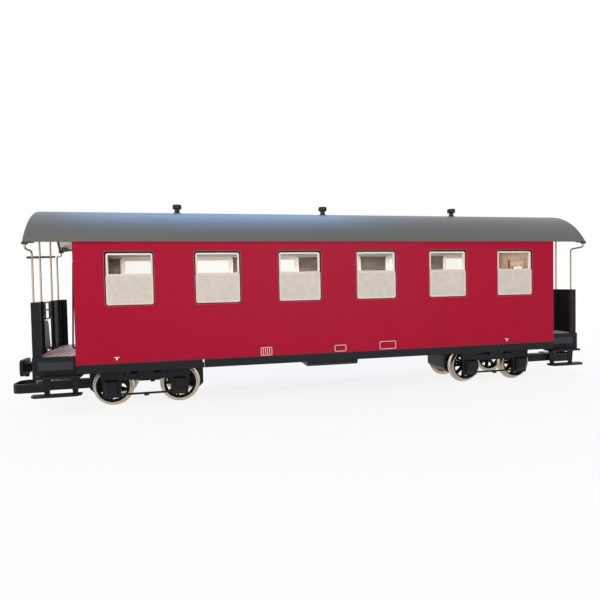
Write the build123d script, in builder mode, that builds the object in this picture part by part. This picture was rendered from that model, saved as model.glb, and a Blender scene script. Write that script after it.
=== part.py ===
"""Model railway coach on two bogies, with open end platforms, for 45 mm gauge track.

X runs along the coach, Y across it and Z is up. The wheel flanges stand on z = 0, and
the origin is below the middle of the coach. All sizes are in millimetres.
"""
import os
from math import pi, sqrt, tan

from build123d import *

os.makedirs("parts", exist_ok=True)

# Body shell
body_length = 453.0
body_width = 109.0
wall = 2.5
wall_bottom = 42.0
eave = 143.5

# Underframe, in one centre section and two end sections
sill_bottom = 35.0
sill_width = 3.0
floor_thickness = 2.0
end_section = 103.5
joint_gap = 0.4
notch_width = 2.4
notch_height = 2.6

# Side windows
window_count = 6
window_margin = 7.5
window_width = 39.6
window_height = 45.6
window_bottom = 90.1
window_corner = 1.5
insert_gap = 0.8
insert_recess = 1.2
insert_border = 1.6
insert_corner = 1.2
flange_lap = 2.0
flange_thickness = 1.2
transom_height = 1.8
transom_drop = 19.6
pane_thickness = 1.0
frosted_thickness = 0.8
fitting_gap = 0.05

# Roof and ventilators
roof_overhang = 1.0
roof_eave = 1.8
roof_rise = 31.5
roof_thickness = 2.2
roof_lip = 1.4
roof_gap = 0.1
vent_spacing = 144.0
vent_sides = 12
vent_cap_radius = 4.5
vent_cap_height = 4.6
vent_shoulder_radius = 3.2
vent_shoulder_drop = 0.6
vent_top_radius = 1.4
vent_stem_radius = 1.9
vent_foot_radius = 3.5
vent_foot_height = 1.6
vent_height = 8.6

# Platforms at the two ends
platform_length = 35.5
platform_width = 92.0
deck_top = 49.0
deck_thickness = 2.0
deck_bed = 2.0
plank_count = 7
plank_groove = 0.5
plank_groove_depth = 0.7
fascia_bottom = 34.0
fascia_thickness = 2.5
fascia_recess = 0.8
fascia_border = 3.0
headstock_bottom = 31.0
headstock_thickness = 2.5

# Railings, posts and gate on the headstock
railing_height = 45.6
railing_inner = 13.0
railing_inset = 1.8
railing_sheet = 1.2
railing_return = 7.0
railing_tube_radius = 2.0
tube_sides = 12
post_radius = 0.8
post_sides = 8
mid_post_inset = 3.5
corner_post_inset = 6.2
corner_post_bend = 136.0
corner_post_rise = 3.0
crossbar_radius = 1.0
crossbar_height = 133.0
crossbar_overhang = 7.0
gate_bar = 1.2
gate_drops = (1.2, 8.0, 16.0)
socket_inset = 1.4
socket_length = 5.0
socket_width = 3.4
socket_height = 3.6
socket_chamfer = 0.8
bracket_length = 8.0
bracket_drop = 2.0
bracket_width = 6.0
bracket_height = 3.4

# Fall plate hinged on the headstock
plate_width = 20.0
plate_top_width = 13.0
plate_shoulder = 20.0
plate_height = 26.5
plate_thickness = 1.2
plate_pin_radius = 0.8
lug_radius = 1.7
lug_width = 1.6
hinge_gap = 0.05
side_gap = 0.3

# Steps below the platform sides
step_board = 1.8
step_upper_overlap = 2.5
step_lower_gap = 2.5
step_reach = 11.5
step_upper_length = 32.5
step_lower_top = 19.2
step_lower_length = 38.0
step_from_body = -3.3
step_point = 3.0
hanger_foot = 3.4
hanger_head = 6.4
hanger_thickness = 1.6
hanger_inset = 5.4
hanger_nub = 0.9

# Centre buffers
buffer_height = 35.3
buffer_reach = 21.0
buffer_shank = 8.0
buffer_width = 21.0
buffer_head_height = 14.5
buffer_head_depth = 3.0
buffer_head_corner = 2.0
buffer_neck = 6.0
buffer_neck_inset = 2.0
buffer_hook = 3.0

# End walls, doors and handrails
door_width = 27.0
door_top = 128.0
door_gap = 0.4
door_thickness = 2.0
door_window_width = 17.0
door_window_height = 38.0
door_window_drop = 7.0
knuckle_radius = 1.1
knuckle_sides = 12
knuckle_length = 5.0
knuckle_inset = 12.0
handle_size = 1.8
handle_length = 6.0
handle_reach = 3.4
handle_inset = 3.0
handle_drop = 6.0
handrail_radius = 0.7
handrail_inset = 7.5
handrail_reach = 3.4
handrail_bottom = 56.0
handrail_top = 128.0
handrail_foot = 1.8

# Seats
seat_count = 5
seat_width = 34.0
seat_depth = 17.0
seat_height = 17.0
seat_back = 42.0
seat_back_thickness = 3.0
seat_base = 9.0
seat_clearance = 1.15

# Underfloor box
box_length = 49.0
box_place = -4.5
box_inset = 5.5
box_bottom = 29.0
box_chamfer = 3.0
box_corner = 1.0

# Bogies
pivot_inset = 52.8
wheelbase = 58.0
pivot_radius = 3.0
pivot_pad = 16.0
pivot_reach = 9.0
bolster_top = 33.0
bolster_bottom = 23.0
bolster_length = 17.0
running_gap = 0.05
spine_width = 14.0
end_beam_inner = 36.0
end_beam_outer = 50.0
end_beam_width = 36.0
end_beam_bottom = 10.0
end_beam_chamfer = 5.0
bearing_inner = 29.5
bearing_outer = 36.5
side_inner = 30.5
side_outer = 34.0
axle_box_width = 11.0
axle_box_bottom = 11.6
axle_box_top = 24.6
axle_box_chamfer = 1.0
lid_width = 8.0
lid_height = 8.0
lid_thickness = 0.6
horn_top_width = 19.0
horn_foot_width = 14.0
horn_bottom = 9.0
horn_top = 32.0
beam_bottom = 24.0
beam_top = 29.5
spring_block_half = 6.5
spring_top = 34.4
arch_thickness = 1.8
strut_width = 1.8
tie_bar_height = 11.4
tie_bar_size = 1.6
tie_bracket_size = 4.0
tie_bracket_height = 2.2

# Wheelsets
tread_radius = 15.5
flange_height = 2.5
back_to_back = 40.0
tyre_width = 6.6
tyre_sides = 28
flange_width = 1.6
flange_chamfer = 0.7
tyre_thickness = 1.3
hub_radius = 4.8
hub_sides = 12
spoke_count = 9
spoke_width = 2.2
centre_rim = 1.9
centre_width = 4.4
axle_radius = 2.0
axle_length = 70.0
bearing_depth = 5.2

# Couplers on the bogies
coupler_reach = 28.0
coupler_half_width = 12.5
coupler_band = 2.0
coupler_bottom = 13.4
coupler_top = 21.5
coupler_corner = 8.0
coupler_arm_width = 9.0
hook_width = 4.0
hook_length = 13.0
hook_thickness = 1.6
hook_tip = 3.2

# Places worked out from the sizes above
half_body = body_length / 2
half_width = body_width / 2
half_platform = platform_width / 2
headstock = half_body + platform_length
section_joint = half_body - end_section
floor_underside = wall_bottom - floor_thickness
deck_underside = deck_top - deck_thickness
bed_underside = deck_underside - deck_bed
roof_length = 2 * (headstock + roof_overhang)
roof_width = body_width + 2 * roof_eave
roof_bottom = eave + roof_gap
roof_radius = ((roof_width / 2) ** 2 + roof_rise**2) / (2 * roof_rise)
roof_centre = roof_bottom + roof_rise - roof_radius
ceiling_radius = roof_radius - roof_thickness
axle_height = tread_radius + flange_height
pivot = half_body - pivot_inset
boss_bottom = bolster_top + side_gap
railing_top = deck_top + railing_height
railing_outer = half_platform - railing_inset
post_line = headstock - railing_sheet / 2
mid_post = railing_inner + mid_post_inset
corner_post = railing_outer - corner_post_inset
corner_post_top = roof_width / 2 - socket_inset
step_outer = half_platform + step_reach
window_pitch = (body_length - 2 * window_margin) / window_count
window_middle = window_bottom + window_height / 2
insert_width = window_width - 2 * insert_gap
insert_height = window_height - 2 * insert_gap
opening_width = insert_width - 2 * insert_border
transom_middle = window_bottom + window_height - transom_drop
ends = (("left", -1), ("right", 1))
sides = (("near", 1), ("far", -1))
low = (Align.CENTER, Align.CENTER, Align.MIN)
high = (Align.CENTER, Align.CENTER, Align.MAX)
window_places = [window_pitch * (i - (window_count - 1) / 2) for i in range(window_count)]


def lip_underside(across):
    """Height of the underside of the roof's end lip at a distance from the middle."""
    return roof_centre + sqrt((ceiling_radius - roof_lip) ** 2 - across**2)


# Centre section of the underframe: a floor plate with a sill along each side
with BuildPart() as underframe_centre:
    section_length = 2 * section_joint - joint_gap
    with Locations((0, 0, wall_bottom)):
        Box(section_length, body_width, floor_thickness, align=high)
    sill_line = half_width - sill_width / 2
    with Locations((0, -sill_line, sill_bottom), (0, sill_line, sill_bottom)):
        Box(section_length, sill_width, wall_bottom - sill_bottom, align=low)
underframe_centre.part.label = "underframe_centre"
export_step(underframe_centre.part, "parts/underframe_centre.step")

# Underfloor box, screwed to the middle of the floor plate
with BuildPart() as underfloor_box:
    box_width = body_width - 2 * (sill_width + box_inset)
    with Locations((box_place, 0, floor_underside)):
        Box(box_length, box_width, floor_underside - box_bottom, align=high)
    chamfer(underfloor_box.edges().group_by(Axis.Z)[0].filter_by(Axis.X), length=box_chamfer)
    chamfer(underfloor_box.edges().filter_by(Axis.Z), length=box_corner)
underfloor_box.part.label = "underfloor_box"
export_step(underfloor_box.part, "parts/underfloor_box.step")

# End sections of the underframe: floor, sills, bogie pivot, and the platform's bed with its
# panelled fascias and headstock
for end, sign in ends:
    with BuildPart() as underframe_end:
        end_length = half_body - section_joint
        end_middle = sign * (half_body + section_joint) / 2
        with Locations((end_middle, 0, wall_bottom)):
            Box(end_length, body_width, floor_thickness, align=high)
        with Locations((end_middle, -sill_line, sill_bottom), (end_middle, sill_line, sill_bottom)):
            Box(end_length, sill_width, wall_bottom - sill_bottom, align=low)
        # Notch at the joint with the centre section
        with Locations((sign * section_joint, 0, wall_bottom)):
            Box(notch_width, body_width, notch_height, align=high, mode=Mode.SUBTRACT)
        # Pivot pad and pin
        with Locations((sign * pivot, 0, boss_bottom)):
            Box(pivot_pad, pivot_pad, floor_underside - boss_bottom, align=low)
        with Locations((sign * pivot, 0, boss_bottom)):
            Cylinder(pivot_radius, pivot_reach, align=high)
        # Platform: bed, cross member against the end wall, headstock and side fascias
        platform_middle = sign * (half_body + platform_length / 2)
        with Locations((platform_middle, 0, bed_underside)):
            Box(platform_length, platform_width, deck_bed, align=low)
        with Locations((sign * (half_body + sill_width / 2), 0, sill_bottom)):
            Box(sill_width, platform_width, deck_underside - sill_bottom, align=low)
        with Locations((sign * (half_body - sill_width / 2), 0, sill_bottom)):
            Box(sill_width, platform_width, wall_bottom - sill_bottom, align=low)
        with Locations((sign * (headstock - headstock_thickness / 2), 0, headstock_bottom)):
            Box(headstock_thickness, platform_width, deck_top - headstock_bottom, align=low)
        fascia_line = half_platform - fascia_thickness / 2
        with Locations(*[(platform_middle, y, fascia_bottom) for y in (-fascia_line, fascia_line)]):
            Box(platform_length, fascia_thickness, deck_top - fascia_bottom, align=low)
        recess_height = deck_top - fascia_bottom - 2 * fascia_border
        for side in (-1, 1):
            with Locations((platform_middle, side * half_platform, fascia_bottom + fascia_border)):
                Box(
                    platform_length - 2 * fascia_border,
                    2 * fascia_recess,
                    recess_height,
                    align=low,
                    mode=Mode.SUBTRACT,
                )
        # Lugs with a slot open at the top, for the fall plate's pin
        lug_place = plate_width / 2 + side_gap + lug_width / 2
        lug_x = sign * (headstock + side_gap + plate_thickness / 2)
        lug_z = deck_top + lug_radius
        lug_length = headstock_thickness + side_gap + plate_thickness / 2 + lug_radius
        lug_middle = sign * (headstock - headstock_thickness + lug_length / 2)
        slot_radius = plate_pin_radius + hinge_gap
        for side in (-1, 1):
            with Locations((lug_middle, side * lug_place, deck_top)):
                Box(lug_length, lug_width, 2 * lug_radius, align=low)
            with Locations((lug_x, side * lug_place, lug_z - slot_radius)):
                Box(2 * slot_radius, 2 * lug_width, 2 * lug_radius, align=low, mode=Mode.SUBTRACT)
    underframe_end.part.label = f"underframe_{end}"
    export_step(underframe_end.part, f"parts/underframe_{end}.step")

    # Planked deck, between the end wall and the headstock and between the fascias
    with BuildPart() as deck:
        deck_length = platform_length - headstock_thickness
        with Locations((sign * (half_body + deck_length / 2), 0, deck_underside)):
            Box(deck_length, platform_width - 2 * fascia_thickness, deck_thickness, align=low)
        plank_width = deck_length / plank_count
        grooves = [(sign * (half_body + plank_width * i), 0, deck_top) for i in range(1, plank_count)]
        with Locations(*grooves):
            Box(plank_groove, platform_width, plank_groove_depth, align=high, mode=Mode.SUBTRACT)
    deck.part.label = f"deck_{end}"
    export_step(deck.part, f"parts/deck_{end}.step")

    # Steps: an upper board under the fascia and a lower board on two hangers, both sides
    with BuildPart() as steps:
        step_start = half_body + step_from_body
        upper_middle = sign * (step_start + step_upper_length / 2)
        lower_middle = sign * (step_start + step_lower_length / 2)
        hanger_places = [
            sign * (step_start + hanger_inset),
            sign * (step_start + step_upper_length - hanger_inset),
        ]
        step_inner = half_platform - step_upper_overlap
        step_lower_inner = half_platform + step_lower_gap
        board_y = -(step_inner + step_outer) / 2
        lower_y = -(step_lower_inner + step_outer) / 2
        with Locations((upper_middle, board_y, fascia_bottom)):
            Box(step_upper_length, step_outer - step_inner, step_board, align=high)
        with BuildSketch(Plane.XY.offset(step_lower_top - step_board)):
            with Locations((lower_middle, lower_y)):
                Rectangle(step_lower_length, step_outer - step_lower_inner)
            chamfer(vertices().group_by(Axis.Y)[0], length=step_point)
        extrude(amount=step_board)
        hanger_bottom = step_lower_top - step_board - hanger_nub
        hanger_rise = fascia_bottom - step_board - hanger_bottom
        with BuildSketch(Plane.XZ.offset(step_lower_inner)):
            with Locations(*[(place, hanger_bottom) for place in hanger_places]):
                Polygon(
                    (-hanger_foot / 2, 0),
                    (hanger_foot / 2, 0),
                    (hanger_head / 2, hanger_rise),
                    (-hanger_head / 2, hanger_rise),
                    align=None,
                )
        extrude(amount=hanger_thickness)
        mirror(about=Plane.XZ)
    steps.part.label = f"steps_{end}"
    export_step(steps.part, f"parts/steps_{end}.step")

    # Centre buffer: a square shank that widens into a flat head, with a hook below
    with BuildPart() as buffer:
        head_back = buffer_reach - buffer_head_depth
        neck_start = head_back - buffer_neck
        shank_plane = Plane((sign * headstock, 0, buffer_height), x_dir=(0, 1, 0), z_dir=(sign, 0, 0))
        with BuildSketch(shank_plane):
            Rectangle(buffer_shank, buffer_shank)
        extrude(amount=neck_start)
        half_neck = buffer_width / 2 - buffer_neck_inset
        with BuildSketch(Plane.XY.offset(buffer_height)):
            with Locations((sign * headstock, 0)):
                Polygon(
                    (sign * neck_start, -buffer_shank / 2),
                    (sign * head_back, -half_neck),
                    (sign * head_back, half_neck),
                    (sign * neck_start, buffer_shank / 2),
                    align=None,
                )
        extrude(amount=buffer_shank / 2, both=True)
        with BuildSketch(shank_plane.offset(head_back)):
            Rectangle(buffer_width, buffer_head_height)
            chamfer(vertices(), length=buffer_head_corner)
        extrude(amount=buffer_head_depth)
        with Locations((sign * (headstock + head_back), 0, buffer_height - buffer_head_height / 2)):
            Box(buffer_hook, buffer_hook, buffer_hook)
    buffer.part.label = f"buffer_{end}"
    export_step(buffer.part, f"parts/buffer_{end}.step")

    # End railing: a sheet either side of the gangway, with a tube for each post and a return
    with BuildPart() as railing:
        with BuildSketch(Plane.XY.offset(deck_top)):
            sheet_width = railing_outer - railing_inner
            sheet_y = -(railing_outer + railing_inner) / 2
            with Locations((sign * post_line, sheet_y)):
                Rectangle(railing_sheet, sheet_width)
            return_x = sign * (headstock - railing_return / 2)
            with Locations((return_x, -(railing_outer - railing_sheet / 2))):
                Rectangle(railing_return, railing_sheet)
            with Locations((sign * post_line, -mid_post), (sign * post_line, -corner_post)):
                RegularPolygon(railing_tube_radius, tube_sides)
        extrude(amount=railing_height)
        mirror(about=Plane.XZ)
    railing.part.label = f"railing_{end}"
    export_step(railing.part, f"parts/railing_{end}.step")

    # Roof posts of bright wire, in the railing's tubes: the inner pair straight up to the roof,
    # the corner pair cranked outwards to the sockets at the roof's corners
    with BuildPart() as posts:
        with BuildSketch(Plane((sign * post_line, -mid_post, railing_top))):
            RegularPolygon(post_radius, post_sides)
        extrude(amount=lip_underside(mid_post + post_radius) - roof_gap - railing_top)
        with BuildLine(Plane((sign * post_line, 0, 0), x_dir=(0, 1, 0), z_dir=(1, 0, 0))):
            Polyline(
                (-corner_post, railing_top),
                (-corner_post, corner_post_bend),
                (-corner_post_top, corner_post_bend + corner_post_rise),
                (-corner_post_top, roof_bottom - socket_height),
            )
        with BuildSketch(Plane((sign * post_line, -corner_post, railing_top))):
            RegularPolygon(post_radius, post_sides)
        sweep(transition=Transition.RIGHT)
        mirror(about=Plane.XZ)
    posts.part.label = f"posts_{end}"
    export_step(posts.part, f"parts/posts_{end}.step")

    # Gate of thin bars across the gangway
    with BuildPart() as gate:
        bar_length = 2 * railing_inner
        for drop in gate_drops:
            with Locations((sign * post_line, 0, railing_top - drop)):
                Box(gate_bar, bar_length, gate_bar)
        gate_drop = max(gate_drops) - min(gate_drops)
        upright_middle = railing_top - (max(gate_drops) + min(gate_drops)) / 2
        upright_place = railing_inner / 2
        with Locations(*[(sign * post_line, y, upright_middle) for y in (-upright_place, upright_place)]):
            Box(gate_bar, gate_bar, gate_drop)
    gate.part.label = f"gate_{end}"
    export_step(gate.part, f"parts/gate_{end}.step")

    # Fall plate, folded up: a tapered plate with a rounded top, on a pin in the headstock's lugs
    with BuildPart() as fall_plate:
        plate_x = sign * (headstock + side_gap + plate_thickness / 2)
        plate_plane = Plane((plate_x, 0, lug_z), x_dir=(0, 1, 0), z_dir=(1, 0, 0))
        with BuildSketch(plate_plane):
            half_foot = plate_width / 2
            half_tip = plate_top_width / 2
            with BuildLine():
                Polyline(
                    (-half_tip, plate_shoulder),
                    (-half_foot, 0),
                    (half_foot, 0),
                    (half_tip, plate_shoulder),
                )
                ThreePointArc((half_tip, plate_shoulder), (0, plate_height), (-half_tip, plate_shoulder))
            make_face()
        extrude(amount=plate_thickness / 2, both=True)
        with Locations((plate_x, 0, lug_z)):
            Cylinder(plate_pin_radius, plate_width + 2 * (side_gap + lug_width), rotation=(90, 0, 0))
    fall_plate.part.label = f"fall_plate_{end}"
    export_step(fall_plate.part, f"parts/fall_plate_{end}.step")

    # End wall, arched to the roof, with the door's opening and its lower knuckles
    with BuildPart() as end_wall:
        wall_plane = Plane.YZ.offset(sign * half_body)
        with BuildSketch(wall_plane):
            with Locations((0, roof_centre)):
                Circle(ceiling_radius - roof_gap)
            with Locations((0, wall_bottom)):
                Rectangle(
                    body_width - 2 * wall,
                    2 * roof_radius,
                    align=(Align.CENTER, Align.MIN),
                    mode=Mode.INTERSECT,
                )
            with Locations((0, deck_top)):
                Rectangle(
                    door_width, door_top - deck_top, align=(Align.CENTER, Align.MIN), mode=Mode.SUBTRACT
                )
        extrude(amount=-sign * wall)
        hinge_x = sign * (half_body + knuckle_radius)
        hinge_y = door_width / 2
        knuckle_heights = (deck_top + knuckle_inset, door_top - knuckle_inset)
        for z in knuckle_heights:
            with BuildSketch(Plane((hinge_x, hinge_y, z - side_gap / 2))):
                RegularPolygon(knuckle_radius, knuckle_sides)
            extrude(amount=-knuckle_length)
        with Locations(*[(sign * half_body, hinge_y, z - side_gap / 2) for z in knuckle_heights]):
            Box(
                2 * knuckle_radius, knuckle_radius, knuckle_length, align=(Align.CENTER, Align.MIN, Align.MAX)
            )
    end_wall.part.label = f"end_wall_{end}"
    export_step(end_wall.part, f"parts/end_wall_{end}.step")

    # Door leaf, hung on the end wall, with its window opening, handle and upper knuckles
    with BuildPart() as door:
        leaf_height = door_top - deck_top - 2 * door_gap
        leaf_width = door_width - 2 * door_gap
        leaf_middle = (door_top + deck_top) / 2
        with BuildSketch(wall_plane):
            with Locations((0, leaf_middle)):
                Rectangle(leaf_width, leaf_height)
            window_top = leaf_middle + leaf_height / 2 - door_window_drop
            with Locations((0, window_top - door_window_height / 2)):
                Rectangle(door_window_width, door_window_height, mode=Mode.SUBTRACT)
        extrude(amount=-sign * door_thickness)
        for z in knuckle_heights:
            with BuildSketch(Plane((hinge_x, hinge_y, z + side_gap / 2))):
                RegularPolygon(knuckle_radius, knuckle_sides)
            extrude(amount=knuckle_length)
        with Locations(*[(sign * half_body, hinge_y, z + side_gap / 2) for z in knuckle_heights]):
            Box(
                2 * knuckle_radius, knuckle_radius + door_gap, knuckle_length,
                align=(Align.CENTER, Align.MAX, Align.MIN),
            )
        handle_y = -leaf_width / 2 + handle_inset
        handle_z = leaf_middle - handle_drop
        with Locations((sign * (half_body + handle_reach / 2), handle_y, handle_z)):
            Box(handle_reach, handle_size, handle_size)
        lever_x = sign * (half_body + handle_reach - handle_size / 2)
        with Locations((lever_x, handle_y - handle_size / 2, handle_z)):
            Box(handle_size, handle_length, handle_size, align=(Align.CENTER, Align.MIN, Align.CENTER))
    door.part.label = f"door_{end}"
    export_step(door.part, f"parts/door_{end}.step")

    # Glass in the door
    with BuildPart() as door_glass:
        with BuildSketch(Plane.YZ.offset(sign * (half_body - (door_thickness - pane_thickness) / 2))):
            with Locations((0, window_top - door_window_height / 2)):
                Rectangle(door_window_width - 2 * fitting_gap, door_window_height - 2 * fitting_gap)
        extrude(amount=-sign * pane_thickness)
    door_glass.part.label = f"door_glass_{end}"
    export_step(door_glass.part, f"parts/door_glass_{end}.step")

# Crossbar on the posts of one end
with BuildPart() as crossbar:
    crossbar_x = -(post_line + post_radius + crossbar_radius)
    with BuildSketch(Plane((crossbar_x, 0, crossbar_height), x_dir=(1, 0, 0), z_dir=(0, 1, 0))):
        RegularPolygon(crossbar_radius, post_sides)
    extrude(amount=corner_post + crossbar_overhang, both=True)
crossbar.part.label = "crossbar"
export_step(crossbar.part, "parts/crossbar.step")

# Sockets under the roof's corners that take the cranked posts, each with a bracket inside the roof
with BuildPart() as post_sockets:
    with Locations((post_line, -corner_post_top, roof_bottom)):
        Box(socket_length, socket_width, socket_height, align=high)
    chamfer(post_sockets.edges().group_by(Axis.Z)[0], length=socket_chamfer)
    socket_side = corner_post_top - socket_width / 2
    with BuildSketch(Plane.YZ.offset(post_line - socket_length / 2)):
        with Locations((-socket_side, roof_bottom)):
            Polygon(
                (0, -bracket_drop),
                (0, 0),
                (bracket_width / 2, bracket_height),
                (bracket_width, bracket_height),
                (bracket_width, bracket_height / 2),
                align=None,
            )
    extrude(amount=-bracket_length)
    with Locations((post_line - socket_length / 2, -socket_side, roof_bottom - bracket_drop)):
        Box(socket_length, bracket_drop, bracket_drop, align=(Align.MAX, Align.MAX, Align.MIN))
    mirror(about=Plane.XZ)
    mirror(about=Plane.YZ)
post_sockets.part.label = "post_sockets"
export_step(post_sockets.part, "parts/post_sockets.step")

# Handrails on the end walls: a straight rod between two feet
with BuildPart() as handrails:
    rail_x = half_body + handrail_reach
    handrail_place = half_width - handrail_inset
    with BuildSketch(Plane((rail_x, -handrail_place, handrail_bottom))):
        RegularPolygon(handrail_radius, post_sides)
    extrude(amount=handrail_top - handrail_bottom)
    with Locations((half_body, -handrail_place, handrail_bottom), (half_body, -handrail_place, handrail_top)):
        Box(handrail_reach, handrail_foot, handrail_foot, align=(Align.MIN, Align.CENTER, Align.CENTER))
    mirror(about=Plane.XZ)
    mirror(about=Plane.YZ)
handrails.part.label = "handrails"
export_step(handrails.part, "parts/handrails.step")

# Outline of a window opening in the side walls
with BuildSketch() as window_outline:
    Rectangle(window_width, window_height)
    chamfer(vertices(), length=window_corner)

# Side walls with their window openings
for side_name, side in sides:
    with BuildPart() as side_wall:
        with BuildSketch(Plane.XZ.offset(side * half_width)):
            with Locations((0, wall_bottom)):
                Rectangle(body_length, eave - wall_bottom, align=(Align.CENTER, Align.MIN))
            with Locations(*[(x, window_middle) for x in window_places]):
                add(window_outline.sketch, mode=Mode.SUBTRACT)
        extrude(amount=-side * wall)
    side_wall.part.label = f"side_wall_{side_name}"
    export_step(side_wall.part, f"parts/side_wall_{side_name}.step")

# Window inserts: a frame with a transom, recessed in the opening, on a flange behind the wall
insert_face = half_width - insert_recess
flange_face = half_width - wall - fitting_gap
upper_bottom = transom_middle + transom_height / 2
upper_top = window_middle + insert_height / 2 - insert_border
lower_bottom = window_middle - insert_height / 2 + insert_border
lower_top = transom_middle - transom_height / 2
with BuildSketch() as insert_outline:
    Rectangle(insert_width, insert_height)
    chamfer(vertices(), length=insert_corner)
with BuildPart() as window_frames:
    window_middles = [(x, window_middle) for x in window_places]
    with BuildSketch(Plane.XZ.offset(insert_face)):
        with Locations(*window_middles):
            add(insert_outline.sketch)
    extrude(amount=flange_face - insert_face)
    with BuildSketch(Plane.XZ.offset(flange_face)):
        with Locations(*window_middles):
            Rectangle(window_width + 2 * flange_lap, window_height + 2 * flange_lap)
    extrude(amount=-flange_thickness)
    with BuildSketch(Plane.XZ.offset(insert_face)):
        for row_bottom, row_top in ((upper_bottom, upper_top), (lower_bottom, lower_top)):
            with Locations(*[(x, (row_bottom + row_top) / 2) for x in window_places]):
                Rectangle(opening_width, row_top - row_bottom)
    extrude(amount=-(insert_face - flange_face + flange_thickness), mode=Mode.SUBTRACT)
    mirror(about=Plane.XZ)
window_frames.part.label = "window_frames"
export_step(window_frames.part, "parts/window_frames.step")

# Clear upper panes, in the inserts' upper openings
with BuildPart() as clear_panes:
    with BuildSketch(Plane.XZ.offset(flange_face)):
        with Locations(*[(x, (upper_bottom + upper_top) / 2) for x in window_places]):
            Rectangle(opening_width - 2 * fitting_gap, upper_top - upper_bottom - 2 * fitting_gap)
    extrude(amount=-pane_thickness)
    mirror(about=Plane.XZ)
clear_panes.part.label = "clear_panes"
export_step(clear_panes.part, "parts/clear_panes.step")

# Frosted lower panes, on the front of the inserts' lower halves
with BuildPart() as frosted_panes:
    with BuildSketch(Plane.XZ.offset(insert_face)):
        with Locations(*window_middles):
            add(insert_outline.sketch)
        with Locations((0, transom_middle)):
            Rectangle(2 * body_length, window_height, align=(Align.CENTER, Align.MIN), mode=Mode.SUBTRACT)
    extrude(amount=frosted_thickness)
    mirror(about=Plane.XZ)
frosted_panes.part.label = "frosted_panes"
export_step(frosted_panes.part, "parts/frosted_panes.step")

# Arched roof shell with a thickened lip at its open ends
with BuildPart() as roof:
    with BuildSketch(Plane.YZ.offset(-roof_length / 2)):
        with Locations((0, roof_centre)):
            Circle(roof_radius)
            Circle(ceiling_radius, mode=Mode.SUBTRACT)
        with Locations((0, roof_bottom)):
            Rectangle(
                2 * roof_width, 2 * roof_radius, align=(Align.CENTER, Align.MIN), mode=Mode.INTERSECT
            )
    extrude(amount=roof_length)
    for end, sign in ends:
        with BuildSketch(Plane.YZ.offset(sign * roof_length / 2)):
            with Locations((0, roof_centre)):
                Circle(roof_radius)
                Circle(ceiling_radius - roof_lip, mode=Mode.SUBTRACT)
            with Locations((0, roof_bottom)):
                Rectangle(
                    2 * roof_width, 2 * roof_radius, align=(Align.CENTER, Align.MIN), mode=Mode.INTERSECT
                )
        extrude(amount=-sign * roof_lip)
roof.part.label = "roof"
export_step(roof.part, "parts/roof.step")

# Ventilators along the roof's crown: a flared foot, a stem and a rounded cap
with BuildPart() as vents:
    crown = roof_bottom + roof_rise
    vent_top = crown + vent_height
    cap_bottom = vent_top - vent_cap_height
    stem_sections = (
        (vent_foot_radius, crown),
        (vent_stem_radius, crown + vent_foot_height),
        (vent_stem_radius, cap_bottom),
    )
    cap_sections = (
        (vent_cap_radius, cap_bottom),
        (vent_cap_radius, cap_bottom + vent_cap_height / 2),
        (vent_shoulder_radius, vent_top - vent_shoulder_drop),
        (vent_top_radius, vent_top),
    )
    for place in (-vent_spacing, 0, vent_spacing):
        for sections in (stem_sections, cap_sections):
            for radius, height in sections:
                with BuildSketch(Plane((place, 0, height))):
                    RegularPolygon(radius, vent_sides)
            loft(ruled=True)
vents.part.label = "vents"
export_step(vents.part, "parts/vents.step")

# Pairs of benches back to back, on plinths either side of the aisle
with BuildPart() as seats:
    bench_y = flange_face - flange_thickness - seat_clearance - seat_width / 2
    seat_places = [window_pitch * (i - (seat_count - 1) / 2) for i in range(seat_count)]
    for side in (-1, 1):
        with BuildSketch(Plane.XZ.offset(side * bench_y + seat_width / 2)):
            for x in seat_places:
                with Locations((x, wall_bottom)):
                    Rectangle(seat_base, seat_height, align=(Align.CENTER, Align.MIN))
                    Rectangle(seat_back_thickness, seat_back, align=(Align.CENTER, Align.MIN))
                with Locations((x, wall_bottom + seat_height)):
                    Rectangle(2 * seat_depth, seat_back_thickness, align=(Align.CENTER, Align.MAX))
        extrude(amount=-seat_width)
seats.part.label = "seats"
export_step(seats.part, "parts/seats.step")

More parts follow.
